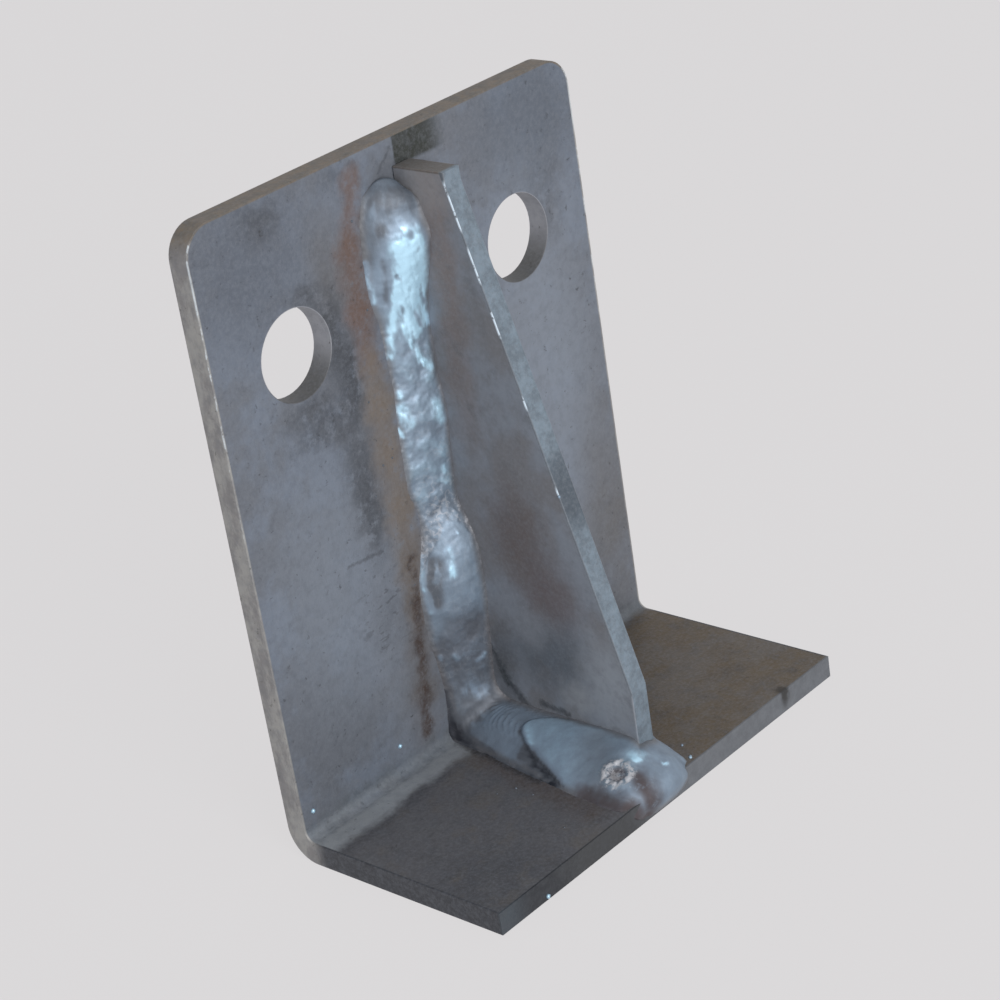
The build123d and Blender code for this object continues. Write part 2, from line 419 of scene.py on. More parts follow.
def plate_material():
    """The plate's scale, and everything on it in the order that it lies in."""
    s = PlateSurface()
    past_x = s.most(s.plus(s.math("ABSOLUTE", s.x), TOP_CORNER - PLATE_SIDE), 0.0)
    past_z = s.most(s.plus(s.z, TOP_CORNER - PLATE_TOP), 0.0)
    past_corner = s.node("CombineXYZ", {0: past_x, 1: past_z})
    reach = s.vector("LENGTH", past_corner, output="Value")

    behind_bend = s.step(s.uneven_y, UPRIGHT_FACE - 2.4, UPRIGHT_FACE + 0.6)
    colour = s.mix(behind_bend, shelf_colour(s), upright_colour(s))
    # Darkens a patch on the upright above the gusset
    colour = s.tint(colour, DARK_PATCH_ABOVE_GUSSET, dark_patch_above_gusset(s), 0.92)
    outline = s.step(reach, TOP_CORNER - 0.50, TOP_CORNER - 0.25)
    colour = s.mix(outline, colour, sheared_edge(s))
    # The worn front arris, with a painted highlight
    colour = s.mix(worn_arris_and_glint(s, reach), colour, WORN_EDGE_AND_GLINT)
    # The bores' walls, with painted shade low in each and painted light high in each
    bore_radii = (HOLE_RADIUS + 0.12, 200.0, HOLE_RADIUS + 0.12)
    for hole_x in (-HOLE_OFFSET, HOLE_OFFSET):
        bore = s.blob(s.place, (hole_x, UPRIGHT_FACE / 2, 0.0), bore_radii, 0.01)
        colour = s.mix(bore, colour, s.mix(s.step(s.z, -7.5, 1.0), BORE_PAINTED_SHADE, BORE_PAINTED_LIGHT))
    colour = s.tint(colour, SCALE_SHADE, s.step(s.mottle, 0.40, 0.70), 0.22)
    colour = s.tint(colour, SCALE_GRAIN, s.step(s.grain, 0.35, 0.75), 0.20)
    pits = s.step(s.noise(1.4, 4.0, 0.75, place=s.fine), 0.30, 0.38)
    colour = s.tint(colour, SCALE_PIT, s.math("SUBTRACT", 1.0, pits), 0.6)
    front = s.step(s.y, SHELF_FRONT + 0.50, SHELF_FRONT + 0.25)
    colour = s.mix(front, colour, front_edge(s))
    nick = s.blob(s.fine, (35.0, SHELF_FRONT, SHELF_TOP), (1.3, 2.0, 3.0), 0.5)
    colour = s.tint(colour, NICK, nick, 0.85)

    rough = s.plus(0.42, s.times(s.cloud, 0.22))
    rough = s.plus(rough, s.times(s.grain, 0.10))
    brushed = s.noise(0.5, 2.0, 0.5, stretch=(0.6, 1.0, 14.0))
    height = s.plus(s.times(s.grain, 0.35), s.times(s.cloud, 1.2))
    height = s.plus(height, s.times(pits, 0.25))
    height = s.plus(height, s.times(brushed, 0.12))
    return s.finish(s.shader(colour, rough, 0.45, height, RELIEF))


# Marks on the gusset's left side, as centre (y, z), radii (y, z), colour and strength
GUSSET_MARKS = [
    ((-13.5, 10), (3.2, 17), srgb(134, 116, 108), 0.7),
    ((-13, -14), (3.4, 14), srgb(128, 116, 112), 0.55),
    ((-12, 22), (6, 6), srgb(158, 155, 156), 0.75),
    ((-21.5, -47), (6.5, 10), srgb(102, 90, 86), 0.75),
    ((-27.5, -58), (6, 7), srgb(106, 95, 96), 0.75),
    ((-25, -71), (10, 7), srgb(98, 106, 116), 0.85),
    ((-12, -76), (3, 8), srgb(88, 92, 98), 0.7),
    ((-39, -74), (6, 9), srgb(160, 166, 175), 0.85),
    ((-30.5, -79), (4, 3), srgb(158, 162, 168), 0.75),
    ((-21, -66), (4, 4), srgb(146, 150, 158), 0.55),
]
# Where the left arris of the gusset's front edge is worn, with a painted highlight, as ranges of height
ARRIS_GLINTS = [(14, 22.5), (4.5, 10.5), (-5.5, -1), (-19, -17), (-35.5, -34.3)]
# Painted shade in dark streaks low on its left side, by the weld, as from and to (y, z) and half width
GUSSET_STREAKS = [
    ((-11.5, -78), (-18.5, -86), 0.9), ((-9, -72), (-13, -80), 0.7),
    ((-20.5, -82.1), (-27.4, -82.9), 0.6),
]
GUSSET_GREY = srgb(127, 127, 131)
GUSSET_BLUE = srgb(138, 144, 154)
GUSSET_CLOUD = srgb(104, 104, 108)
GUSSET_SHADE = srgb(104, 106, 112)
GUSSET_GRAIN = srgb(160, 166, 174)
STREAK_PAINTED_SHADE = srgb(58, 62, 66)
GROUND_DARK = srgb(102, 113, 123)
GROUND_LIGHT = srgb(122, 136, 148)
GROUND_DULL = srgb(78, 86, 95)
GUSSET_TOP = srgb(104, 95, 86)
ARRIS_DULL = srgb(96, 104, 112)
ARRIS_PAINTED_GLINT = srgb(206, 220, 232)


def gusset_material():
    """Mill scale browned by the weld's heat along its inner edge, and a ground front edge."""
    s = Surface("gusset_mill_scale")
    rough_place = s.ragged(4.5, 1.6)
    fine_place = s.ragged(1.5, 0.6)
    cloud = s.noise(6.0, 5.0, 0.64)
    mottle = s.noise(2.0, 4.0, 0.65)
    grain = s.noise(0.7, 3.0, 0.7)
    colour = s.mix(s.step(s.noise(14.0, 4.0, 0.6), 0.38, 0.62), GUSSET_GREY, GUSSET_BLUE)
    for centre, (deep, tall), tone, strength in GUSSET_MARKS:
        mark = s.blob(rough_place, (LEFT_FACE, *centre), (30.0, deep, tall), 0.75)
        colour = s.tint(colour, tone, mark, strength)
    # Painted shade: dark streaks low on the side, by the weld
    for start, end, wide in GUSSET_STREAKS:
        shade_streak = s.stroke(fine_place, (LEFT_FACE, *start), (LEFT_FACE, *end), wide, 0.8)
        colour = s.tint(colour, STREAK_PAINTED_SHADE, shade_streak, 0.7)
    colour = s.tint(colour, GUSSET_CLOUD, s.step(cloud, 0.55, 0.72), 0.40)
    colour = s.tint(colour, GUSSET_SHADE, s.step(mottle, 0.42, 0.72), 0.25)

    # The cut edges, ground in front and brown on top
    half = (RIGHT_FACE - LEFT_FACE) / 2
    across = s.math("ABSOLUTE", s.plus(s.x, -GUSSET_MIDDLE))
    edge = s.step(across, half - 0.05, half - 0.30)
    uneven = s.step(s.noise(2.2, 5.0, 0.7), 0.36, 0.66)
    edge_colour = s.mix(uneven, GROUND_DARK, GROUND_LIGHT)
    dull = s.blob(rough_place, (GUSSET_MIDDLE, -33.5, -36.0), (6.0, 8.0, 7.0), 0.6)
    edge_colour = s.tint(edge_colour, GROUND_DULL, dull, 0.95)
    colour = s.mix(edge, colour, edge_colour)
    top = s.times(s.step(s.z, 24.0, 24.3), s.step(s.y, -16.6, -15.6))
    colour = s.tint(colour, GUSSET_TOP, top, 0.8)

    # The left arris of the front edge, worn, with painted highlights here and there
    front_line = Vector((0.0, -NOSE_TO_TOE[2], NOSE_TO_TOE[1])).normalized()
    behind_front = s.vector("DOT_PRODUCT", s.vector("SUBTRACT", s.place, NOSE), front_line, output="Value")
    from_left = s.math("ABSOLUTE", s.plus(s.x, -LEFT_FACE))
    arris = s.times(s.step(from_left, 0.26, 0.10), s.step(behind_front, 0.42, 0.20))
    colour = s.tint(colour, ARRIS_DULL, arris, 0.8)
    flaws = s.step(s.noise(1.4, 3.0, 0.6), 0.36, 0.48)
    for low, high in ARRIS_GLINTS:
        glint = s.times(s.step(s.z, low - 0.8, low + 0.6), s.step(s.z, high + 0.8, high - 0.6))
        colour = s.mix(s.times(s.times(arris, glint), flaws), colour, ARRIS_PAINTED_GLINT)

    colour = s.tint(colour, GUSSET_GRAIN, s.step(grain, 0.35, 0.75), 0.18)
    rough = s.plus(0.44, s.times(cloud, 0.22))
    height = s.plus(s.times(grain, 0.4), s.times(cloud, 1.2))
    return s.finish(s.shader(colour, rough, 0.40, height, RELIEF))


WELD_PAINTED_SHADE = srgb(34, 39, 48)
WELD_GREY = srgb(94, 99, 107)
WELD_BLUE = srgb(134, 150, 167)
WELD_PAINTED_HIGHLIGHT = srgb(196, 234, 255)
WELD_RIM = srgb(113, 111, 112)
WELD_STAIN = srgb(84, 77, 80)
WELD_CRUST = srgb(204, 203, 206)


def weld_material():
    """As-welded steel: bluish metal with painted highlights and painted shade, brown stain and whitish
    crust, as the mesh's masks say.
    """
    s = Surface("weld_bead")
    crust = s.attribute("crust")
    speck = s.noise(1.0, 4.0, 0.7)
    cloud = s.noise(2.6, 5.0, 0.65, stretch=(1.0, 1.0, 2.2))
    sheen = s.plus(s.attribute("sheen"), s.times(s.plus(cloud, -0.5), 0.30))
    # The mask's low end is painted shade, its middle the metal's grey and blue, and its high end a painted
    # highlight
    colour = s.mix(s.step(sheen, -0.8, 0.0), WELD_PAINTED_SHADE, WELD_GREY)
    colour = s.mix(s.step(sheen, 0.0, 0.5), colour, WELD_BLUE)
    colour = s.mix(s.step(sheen, 0.42, 1.0), colour, WELD_PAINTED_HIGHLIGHT)
    colour = s.tint(colour, WELD_RIM, s.attribute("rim"), 0.80)
    stained = s.times(s.attribute("stain"), s.step(s.noise(1.8, 4.0, 0.6), 0.14, 0.46))
    colour = s.mix(stained, colour, WELD_STAIN)
    vein = s.math("ABSOLUTE", s.plus(s.noise(2.6, 2.0, 0.5), -0.5))
    vein = s.times(s.step(vein, 0.045, 0.012), s.step(cloud, 0.42, 0.56))
    flake = s.step(s.plus(speck, s.times(crust, 0.22)), 0.60, 0.72)
    crusted = s.times(crust, s.most(vein, flake))
    colour = s.tint(colour, WELD_CRUST, crusted, 0.75)
    rough = s.plus(0.56, s.times(s.most(sheen, 0.0), -0.18))
    rough = s.plus(rough, s.times(s.most(crusted, stained), 0.22))
    height = s.plus(s.times(speck, 0.4), s.times(cloud, 0.8))
    return s.finish(s.shader(colour, rough, 0.55, height, WELD_RELIEF))


def spline(knots, values, where):
    """A smooth curve through the values at uneven knots. Each value may be a number or an array."""
    knots = np.asarray(knots, float)
    values = np.asarray(values, float)
    slopes = np.gradient(values, knots, axis=0)
    first = np.clip(np.searchsorted(knots, where, side="right") - 1, 0, len(knots) - 2)
    span = knots[first + 1] - knots[first]
    t = ((where - knots[first]) / span).reshape((-1,) + (1,) * (values.ndim - 1))
    span = span.reshape(t.shape)
    return (
        (2 * t**3 - 3 * t**2 + 1) * values[first]
        + (t**3 - 2 * t**2 + t) * span * slopes[first]
        + (3 * t**2 - 2 * t**3) * values[first + 1]
        + (t**3 - t**2) * span * slopes[first + 1]
    )


def smoothstep(value, low, high):
    t = np.clip((value - low) / (high - low), 0, 1)
    return t * t * (3 - 2 * t)


# The weld is one strip of sections, each of five points from the plate up to the gusset. It runs down the
# left of the upright, out along the shelf, round the gusset's toe, and back up the right side.
# They turn the corner round a centre that is this far from the root line. For turns in degrees, how far
# the plate lies from the centre, and what the whole turn adds to the run
CORNER_RADIUS = 9.0
CORNER_CENTRE = np.array([0.0, UPRIGHT_FACE - CORNER_RADIUS, SHELF_TOP + CORNER_RADIUS])
CORNER_TURNS = [(0, 9), (22.5, 9.74), (45, 11.9), (67.5, 9.74), (90, 9)]
CORNER_RUN = 9.4
SECTION_POINTS = 5
# How far the bead's hidden edges and its hidden back lie inside the plates
SINK = 0.06
ROOT_DEPTH = 0.6
# The mesh's steps along the run, in view and on the hidden right, and its count across
FINE_STEP = 0.24
COARSE_STEP = 0.34
STEPS_ACROSS = 44

# Height on the upright, leg on the plate, leg on the gusset, crown
LEFT_UPRIGHT = [
    (17.5, 10, 6, 1.1), (13.5, 10.6, 7, 1.2), (8.6, 10.95, 6.2, 1.1), (3, 10.9, 4.5, 1),
    (-2.6, 9.7, 3.4, 0.9), (-9.4, 9.3, 3, 0.8), (-15.7, 9, 3, 0.8), (-21.4, 9.4, 3.7, 0.8),
    (-29, 9.7, 3.3, 0.7), (-36, 9.7, 2.7, 0.7), (-41.5, 8.3, 2.9, 0.7), (-45.5, 8.4, 4.6, 0.9),
    (-50, 9.6, 5.9, 1.1), (-55, 11.1, 6.2, 1.2), (-61, 11.4, 6.2, 1.1), (-67, 11, 5.6, 0.9),
    (-73, 10.1, 5.1, 0.9),
]
# Leg on the plate, leg on the gusset and crown at each of the corner's turns
LEFT_CORNER = [(9.5, 4.8, 0.9), (9.8, 5.2, 1), (10.3, 5.6, 1.1), (10.6, 5.8, 1.1), (10.9, 6, 1.1)]
# Distance out on the shelf (y), leg on the plate, leg on the gusset, crown
LEFT_SHELF = [
    (-19, 11.7, 5.8, 1), (-25, 12.6, 5.8, 1), (-32, 13.4, 5.9, 1.1), (-39, 14.3, 5.9, 1.2),
]
RIGHT_UPRIGHT = [
    (17, 7.7, 4.8, 0.9), (5, 8.1, 5.1, 0.9), (-8, 8.3, 5.3, 0.9), (-20, 7.8, 4.9, 0.9),
    (-33, 7.6, 4.8, 0.9), (-46, 8.1, 5.1, 0.9), (-60, 8.2, 5, 0.9), (-72, 8, 5, 0.9),
]
RIGHT_CORNER = [(8, 5, 0.9), (8.1, 5, 0.9), (8.3, 5.1, 0.9), (8.2, 5.1, 0.9), (8, 5, 0.9)]
RIGHT_SHELF = [(-19, 7.9, 4.9, 0.9), (-26, 7.7, 4.8, 0.9), (-33, 6.8, 4.5, 0.8), (-38.5, 5.4, 4.2, 0.7)]
# Round the toe: position along the run from the toe's start, the foot on the plate, the brow where the
# metal turns over, and the seat on the gusset
TOE_START_Y = -43.0
TOE = [
    (0, (-14.3, -43.2, SHELF_TOP), (-7.6, -43, -85.2), (LEFT_FACE, -42.6, -83.8)),
    (3.2, (-14.7, -47.6, SHELF_TOP), (-7.7, -45.8, -85.5), (LEFT_FACE, -43.5, -84.2)),
    (6.2, (-13.8, -51, SHELF_TOP), (-7.3, -48.2, -85.8), (LEFT_FACE, -43.9, -84.6)),
    (8.6, (-12.6, SHELF_FRONT, -91), (-6.6, -50, -86.5), (0.3, GUSSET_TOE, -84.9)),
    (11.2, (-10.2, SHELF_FRONT, -92.8), (-5.4, -51.5, -87.2), (0.8, GUSSET_TOE, -85.1)),
    (14.2, (-6.4, SHELF_FRONT, -93.7), (-3.5, -52.4, -87.9), (1.4, GUSSET_TOE, -85.2)),
    (17.2, (-2.6, SHELF_FRONT, -93.8), (-1.2, -52.6, -88.2), (2.2, GUSSET_TOE, -85.3)),
    (20.2, (0.9, SHELF_FRONT, -93.4), (1, -52.2, -88.2), (3, GUSSET_TOE, -85.5)),
    (23.2, (3.8, SHELF_FRONT, -91.6), (3.1, -50.8, -88.1), (4, GUSSET_TOE, -85.9)),
    (25.6, (5.4, -50.8, SHELF_TOP), (4.7, -48.4, -87.9), (RIGHT_FACE, GUSSET_TOE, -86.2)),
    (28.2, (6.6, -47.4, SHELF_TOP), (5.9, -46, -87.8), (RIGHT_FACE, -43.5, -86.2)),
    (31, (7.6, -43.6, SHELF_TOP), (6.6, -43, -87.6), (RIGHT_FACE, -42.3, -86)),
]
# Run per millimetre of y from the toe's end to the right shelf run
TOE_TO_RIGHT = 0.8


def section(foot, brow, seat):
    """Points on a smooth curve from the foot on the plate, over the brow, to the seat on the gusset."""
    share = np.linspace(0, 1, SECTION_POINTS)[:, None]
    turn = 2 * brow - (foot + seat) / 2
    return foot * (1 - share) ** 2 + turn * 2 * share * (1 - share) + seat * share**2


def crowned_section(foot, seat, outward, crown):
    return section(foot, (foot + seat) / 2 + outward / np.linalg.norm(outward) * crown, seat)


def straight_section(root, sideways, off_plate, plate_leg, gusset_leg, crown):
    foot = root + sideways * plate_leg
    seat = root + off_plate * gusset_leg
    return crowned_section(foot, seat, sideways * gusset_leg + off_plate * plate_leg, crown)


def upright_run(z):
    """How far along the run a height is. The run starts level with the plate's top edge."""
    return PLATE_TOP - z


def shelf_run(y):
    """How far along the run a place on the shelf is."""
    return upright_run(CORNER_CENTRE[2]) + CORNER_RUN + CORNER_CENTRE[1] - y


def side_sections(side, face_x, upright, corner, shelf):
    """(run, section) down the upright, round the corner and out along the shelf on one side."""
    sideways = np.array([side, 0.0, 0.0])
    outward = np.array([0.0, -1.0, 0.0])
    upward = np.array([0.0, 0.0, 1.0])
    made = []
    for z, *sizes in upright:
        root = np.array([face_x, UPRIGHT_FACE, z])
        made.append((upright_run(z), straight_section(root, sideways, outward, *sizes)))
    centre = CORNER_CENTRE + np.array([face_x, 0.0, 0.0])
    for (turn, reach), (plate_leg, gusset_leg, crown) in zip(CORNER_TURNS, corner):
        angle = math.radians(turn)
        toward = np.array([0.0, math.cos(angle), -math.sin(angle)])
        foot = centre + toward * reach + sideways * plate_leg
        seat = centre + toward * (CORNER_RADIUS - gusset_leg)
        off_plate = sideways * gusset_leg - toward * plate_leg
        run = upright_run(CORNER_CENTRE[2]) + CORNER_RUN * turn / 90
        made.append((run, crowned_section(foot, seat, off_plate, crown)))
    for y, *sizes in shelf:
        root = np.array([face_x, y, SHELF_TOP])
        made.append((shelf_run(y), straight_section(root, sideways, upward, *sizes)))
    return made


# The sections that close a run at its top, above a first ordinary one of this height and these two legs:
# how far above it each starts, and its points as shares of the legs with a rise
LEFT_TOP = (17.5, 10.0, 6.6)
RIGHT_TOP = (17.0, 7.7, 4.8)
TOP_SECTIONS = [
    (5.4, [(0.66, 0, 5), (0.46, 0.06, 5.9), (0.26, 0.14, 5.8), (0.1, 0.22, 4.9), (0, 0.28, 3.4)]),
    (3.9, [(0.82, 0, 4), (0.6, 0.26, 4.4), (0.4, 0.46, 4.3), (0.19, 0.6, 3.6), (0, 0.64, 2.6)]),
    (1.9, [(0.94, 0, 2), (0.73, 0.34, 2.2), (0.51, 0.6, 2.1), (0.26, 0.78, 1.6), (0, 0.86, 1)]),
]


def top_end(side, face_x, z, plate_leg, gusset_leg):
    """(run, section) of the rounded end above the first ordinary section, at height z."""
    made = []
    for above, points in TOP_SECTIONS:
        places = [
            (face_x + side * plate_leg * out, UPRIGHT_FACE - gusset_leg * off, z + rise)
            for out, off, rise in points
        ]
        made.append((upright_run(z) - above, np.array(places)))
    return made


left = top_end(-1, LEFT_FACE, *LEFT_TOP)
left += side_sections(-1, LEFT_FACE, LEFT_UPRIGHT, LEFT_CORNER, LEFT_SHELF)
right = top_end(1, RIGHT_FACE, *RIGHT_TOP)
right += side_sections(1, RIGHT_FACE, RIGHT_UPRIGHT, RIGHT_CORNER, RIGHT_SHELF)
left_end = left[-1][0]
right_end = right[-1][0]
toe_start = left_end + LEFT_SHELF[-1][0] - TOE_START_Y
toe = [
    (toe_start + run, section(np.array(foot), np.array(brow), np.array(seat)))
    for run, foot, brow, seat in TOE
]
toe_end = toe[-1][0]
toe_end_y = TOE[-1][1][1]
right_start = toe_end + (RIGHT_SHELF[-1][0] - toe_end_y) * TOE_TO_RIGHT
whole = left + toe + [(right_start + right_end - run, points) for run, points in reversed(right)]
RUN_KNOTS = [run for run, points in whole]
SECTIONS = [points for run, points in whole]
RUN_END = RUN_KNOTS[-1]


# Passes of the weld, each laid over the end of the one before. Its start is a crescent across the run,
# crisp where the pass has a step and gradual where it has none.
# start run, crescent depth, step, ripple height, ripple pitch, lump height, tone with painted light,
# stain, crust
PASSES = [
    (0, 6, 0, 0.03, 2.4, 0.1, 0.2, 0, 0.04),
    (upright_run(16), 12, 0, 0.03, 3.6, 0.18, 0.45, 0, 0),
    (upright_run(-6), 8, 0, 0.03, 2.4, 0.3, 0.47, 0.05, 0.08),
    (upright_run(-28), 8, 0, 0.03, 1.8, 0.28, 0.54, 0.06, 0.16),
    (upright_run(-37), 8, 0, 0.03, 1.8, 0.3, 0.32, 0.12, 0.4),
    (upright_run(-44.5), 9, 0.12, 0.02, 2.4, 0.12, 0.36, 0, 0.06),
    (upright_run(-62), 7, 0, 0.04, 1.8, 0.18, 0.2, 0.28, 0.1),
    (upright_run(-75), 7, 0, 0.04, 2, 0.12, 0.12, 0.12, 0.03),
    (upright_run(-84), 9, 0, 0.13, 1.35, 0.08, 0.34, 0.05, 0),
    (shelf_run(-20), 19, 0.5, 0.01, 2, 0.05, 0.54, 0, 0),
    (shelf_run(-34), 8, 0, 0.01, 2, 0.1, 0.5, 0, 0),
    (toe_start + 9.0, 3.0, 0.0, 0.02, 2.2, 0.14, 0.38, 0.0, 0.05),
    (toe_start + 34.0, 8.0, 0.1, 0.12, 1.9, 0.22, 0.24, 0.2, 0.08),
    (toe_start + 70.0, 8.0, 0.2, 0.12, 2.0, 0.24, 0.2, 0.24, 0.08),
    (toe_start + 118.0, 8.0, 0.25, 0.13, 2.1, 0.24, 0.26, 0.18, 0.08),
]
# Where across the section a crescent reaches furthest along the run
BOW_APEX = 0.60
# Half the length of a pass's start, with a step and without one, and how far a step lasts
CRISP_START = 0.4
SOFT_START = 3.5
STEP_FADE = 26.0

# Folds, ridges and painted highlights on the weld's face, and painted shade in its folds, its corner and
# along its foot: from, to, reach, lift, change of tone with painted light
FOLDS = [
    ((-6.5, -6.5, 20.5), (-3, -9, 20.5), 3.2, 0, -0.16),
    # A broad painted highlight down the upper weld, and painted shade in the dark folds across it
    ((-4.2, -10.2, 11.5), (-3.2, -8.9, 4), 4.4, 0.08, 0.95),
    ((-3.6, -8.9, 4), (-4.4, -7.6, -4), 3.8, 0.04, 0.52),
    ((-6.5, -7.6, 4.7), (-7.6, -5.7, -3.9), 1.3, 0.05, 0.42),
    ((-5.6, -7.9, 3.4), (-3.1, -7.5, -6.2), 1.6, 0.05, 0.42),
    ((-1.8, -9.4, 4.5), (-0.3, -7.8, -5), 1.2, 0.05, 0.42),
    ((-6, -8, 6.3), (-4.6, -8, 1.1), 0.75, -0.12, -0.46),
    ((-4.6, -8, 1.1), (-2.3, -7.6, -4.7), 0.75, -0.12, -0.46),
    ((-3.3, -9.3, 5.4), (-0.7, -8.1, -0.8), 0.7, -0.1, -0.38),
    ((-8.1, -7.2, 9.6), (-8, -6.2, 1), 1.1, -0.08, -0.24),
    ((-10.4, -4.8, 9.8), (-10.1, -4.9, 2.4), 1, 0.04, 0.32),
    ((-3.6, -10.2, 13.3), (-3.4, -10.2, 12.9), 1.1, -0.18, -0.55),
    ((-7.5, -7.4, 15.5), (-7.3, -7.5, 14.6), 1.4, -0.05, -0.32),
    ((-4.7, -9.8, 14.8), (-4.5, -9.8, 14.3), 0.8, 0.08, 0.45),
    ((-1.9, -11, 12.5), (-1.6, -11, 11.2), 0.9, 0.08, 0.45),
    ((-3.4, -10.1, 19.1), (-1.7, -10.9, 14.6), 0.9, 0.04, 0.26),
    ((-7.5, -6.6, 20.5), (-8.4, -6, 17.2), 0.9, 0.03, 0.2),
    ((-8.1, -5.5, -5.7), (-8.4, -5.1, -8.8), 1.2, 0.08, 0.45),
    ((-4.4, -7, -7.4), (-2.8, -7.2, -11.9), 1.1, 0.1, 0.48),
    ((-2.8, -7.2, -11.9), (-1.4, -7.5, -13.3), 1.1, 0.1, 0.48),
    ((-8.2, -5.3, -16.2), (-8.1, -5.3, -17.2), 0.8, 0.08, 0.45),
    ((-8.3, -5.4, -19.6), (-7.6, -6, -22.6), 1.8, 0.06, 0.36),
    ((-9.3, -4.6, -23.4), (-8.9, -4.8, -24.8), 0.8, 0.05, 0.4),
    ((-2.2, -8, -20.5), (-1.5, -8.1, -24), 1.8, 0.08, 0.36),
    ((-2, -7.5, -33.4), (-2, -7.5, -34.4), 0.8, 0.08, 0.4),
    ((-3.3, -7.3, -35.7), (-1.9, -7.4, -36.6), 0.8, 0.1, 0.35),
    ((-3, -9, -45.9), (-2.8, -9, -46.6), 0.65, 0.08, 0.5),
    ((-5.5, -8.3, -49.4), (-5.7, -8.9, -54.3), 1.2, 0.05, 0.5),
    ((-8.1, -6.6, -51.5), (-9.3, -6.2, -59), 2.3, -0.05, -0.4),
    ((-9.3, -4.8, -49.5), (-10.5, -5.2, -56), 0.9, 0.04, 0.26),
    ((-10.5, -5.2, -56), (-10, -5.8, -60.8), 0.9, 0.04, 0.22),
    ((-9.5, -5.2, -71), (-9.4, -5.2, -71.8), 0.7, 0.08, 0.4),
    ((-7.3, -7, -71.5), (-6.9, -7.2, -72.4), 0.8, 0.08, 0.4),
    ((-1.5, -9.3, -73.2), (-3, -8.7, -74.2), 0.8, 0.08, 0.4),
    ((-5.6, -7.8, -79.6), (-3.2, -9.1, -81), 2.2, 0.04, 0.28),
    # Painted shade in the corner and along the weld's foot on the shelf
    ((-8.8, -6.6, -87.2), (-2, -10, -83), 2.2, -0.1, -0.34),
    ((-9.8, -4.8, -79.5), (-9.8, -5.4, -87.6), 2.2, -0.06, -0.75),
    ((-9.8, -5.4, -87.6), (-11.6, -15, -89.4), 2.2, -0.06, -0.95),
    ((-11.6, -15, -89.4), (-14, -32, -89.4), 2.2, 0, -0.7),
    ((-5.7, -19.9, -85.3), (-8.7, -23.8, -86.8), 1.1, 0, -0.35),
    ((-9.3, -23.6, -87.1), (-13.2, -34, -89.2), 2.2, -0.05, -0.75),
    ((-14, -42, -89.2), (-12.3, -51.2, -89.1), 2.8, 0, -0.5),
    # Painted highlights by the toe
    ((-6, -21, -84.8), (-8, -23.6, -86), 1.8, 0, 0.25),
    ((-3.4, -46, -84.8), (-1, -47.5, -85.6), 2.6, 0, 0.22),
    ((-3.9, -46.6, -85), (-3.7, -47.2, -85.2), 0.9, 0.1, 0.5),
    ((-0.5, -50.2, -86.8), (-0.2, -50.6, -86.9), 0.8, 0.08, 0.5),
]
# The crater's middle (x, y) and radius
CRATER = np.array([-8.6, -45.7])
CRATER_RADIUS = 2.3
# Where the shelf run's metal is greyer, above the crater: from, to, reach
HAZE = ((-2, -36.5, -84), (-10.5, -42, -86.8), 6)
# Brown patches by the crater and along the foot, where the metal cooled last: from, to, reach, strength
STAINS = [
    ((-7.4, -50, -86.2), (-7.8, -53.4, -91.4), 3.4, 1),
    ((-14.3, -41, -89), (-13.6, -51, -89), 3.4, 0.9),
    ((-13.6, -51, -89), (-9, -53, -93.5), 3.8, 1),
    ((-6.5, -46.5, -86.2), (-6.5, -49.5, -86.6), 1.6, 0.8),
]


def near_line(places, start, end, reach):
    """1 on a line between two places, falling smoothly to 0 a little past the reach."""
    start, end = np.array(start), np.array(end)
    run = end - start
    share = np.clip(((places - start) @ run) / (run @ run), 0, 1)
    away = np.linalg.norm(places - start - share[..., None] * run, axis=-1)
    return 1 - smoothstep(away, 0.0, 1.15 * reach)


def fractal(points, roughness):
    """Noise of three octaves at each point of a grid."""
    flat = [noise.fractal(Vector(point), roughness, 2.1, 3) for point in points.reshape(-1, 3)]
    return np.array(flat).reshape(points.shape[:-1])


def bare_strip(runs, shares):
    """The strip's places and normals before its relief, at each run and share across."""
    keyed = spline(RUN_KNOTS, SECTIONS, runs)
    point_shares = np.linspace(0, 1, SECTION_POINTS)
    grid = spline(point_shares, keyed.transpose(1, 0, 2), shares).transpose(1, 0, 2)
    normal = np.cross(np.gradient(grid, axis=0), np.gradient(grid, axis=1))
    normal /= np.maximum(np.linalg.norm(normal, axis=2, keepdims=True), 1e-9)
    return grid, normal


def lay_passes(grid, run, share, lump, bits):
    """The height, tone with painted light, stain and crust of the passes, each laid over the one before.
    """
    below = np.clip((BOW_APEX - share) / BOW_APEX, 0, 1)
    above = np.clip((share - BOW_APEX) / (1 - BOW_APEX), 0, 1)
    bow = below**2 + 0.6 * above**3
    wander = [noise.noise(Vector(place * 0.16)) for place in grid.reshape(-1, 3)]
    wander = np.array(wander).reshape(run.shape)
    ripple_share = smoothstep(lump, -0.5, 0.6) * (1 - below) ** 2
    fields = {name: np.zeros_like(run) for name in ("height", "sheen", "stain", "crust")}
    for start, depth, rise, ripple, pitch, lumps, pass_tone_and_light, brown, white in PASSES:
        phase = run - depth * bow + 0.9 * wander
        blur = CRISP_START if rise else SOFT_START
        over = smoothstep(phase - start, -blur, blur)
        wave = ((phase - start) / pitch + 0.35 * wander) % 1.0
        step = rise * (1 - 0.6 * smoothstep(phase - start, 0.0, STEP_FADE))
        level = step + ripple * ripple_share * (1 - wave) ** 1.4 + lumps * lump + 0.10 * white * bits
        # Painted light: each ripple's crest and each lump's top lighter, each trough darker
        tone_and_light_shift = pass_tone_and_light + 2.2 * ripple * ripple_share * (0.5 - wave) + 0.5 * lumps * lump
        for name, value in (("height", level), ("sheen", tone_and_light_shift), ("stain", brown), ("crust", white)):
            fields[name] = fields[name] * (1 - over) + value * over
    return fields


